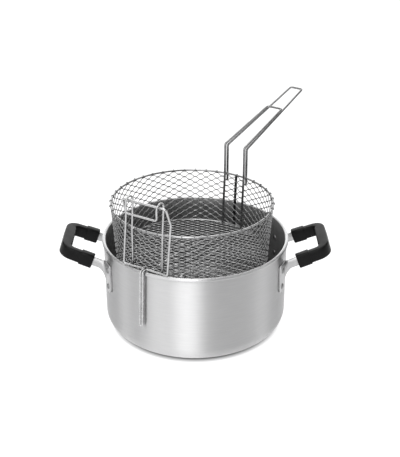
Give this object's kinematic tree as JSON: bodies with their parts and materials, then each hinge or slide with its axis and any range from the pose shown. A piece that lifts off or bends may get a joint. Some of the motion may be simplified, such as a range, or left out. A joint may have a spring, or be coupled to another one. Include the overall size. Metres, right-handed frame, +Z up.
{
  "type": "deep fry pot with basket",
  "caption": "Shallow round fry pot with riveted loop handles, a wire mesh basket with a long wire handle, and a wire hanger on the rim that holds the basket up to drain.",
  "frame": {"origin": "centre of the pot's underside, on the floor", "axes": "+Z up; the pot's two handles lie on X; the basket hangs toward -Y on the rim hanger and its long handle rises toward +X +Y"},
  "size_m": [0.42, 0.4017, 0.3094],
  "materials": {
    "pot_aluminium": "brushed outside, dark hard coat inside",
    "bracket_aluminium": "satin",
    "rivet_aluminium": "satin",
    "grip_plastic": "satin black",
    "wire_steel": "plated",
    "mesh_steel": "plated"
  },
  "bodies": {
    "pot": {"pot_body": "pot_aluminium", "handle_bracket_left": "bracket_aluminium", "handle_bracket_right": "bracket_aluminium", "handle_grip_left": "grip_plastic", "handle_grip_right": "grip_plastic", "rivet_left_front_upper": "rivet_aluminium", "rivet_left_front_lower": "rivet_aluminium", "rivet_left_back_upper": "rivet_aluminium", "rivet_left_back_lower": "rivet_aluminium", "rivet_right_front_upper": "rivet_aluminium", "rivet_right_front_lower": "rivet_aluminium", "rivet_right_back_upper": "rivet_aluminium", "rivet_right_back_lower": "rivet_aluminium"},
    "hanger": {"hanger_frame": "wire_steel"},
    "basket": {"basket_rim_ring": "wire_steel", "basket_base_ring": "wire_steel", "basket_wall_mesh": "mesh_steel", "basket_base_mesh": "mesh_steel", "basket_seam_strip": "mesh_steel", "basket_handle_outer_loop": "wire_steel", "basket_handle_inner_loop": "wire_steel", "basket_hook": "wire_steel", "base_support_wire_left": "wire_steel", "base_support_wire_right": "wire_steel"}
  },
  "joints": [
    {"name": "hanger_lift", "type": "slide", "parent": "pot", "child": "hanger", "axis": [0, 0, 1], "range_m": [0, 0.1]},
    {"name": "basket_lift", "type": "slide", "parent": "hanger", "child": "basket", "axis": [0, 0, 1], "range_m": [0, 0.15]}
  ]
}
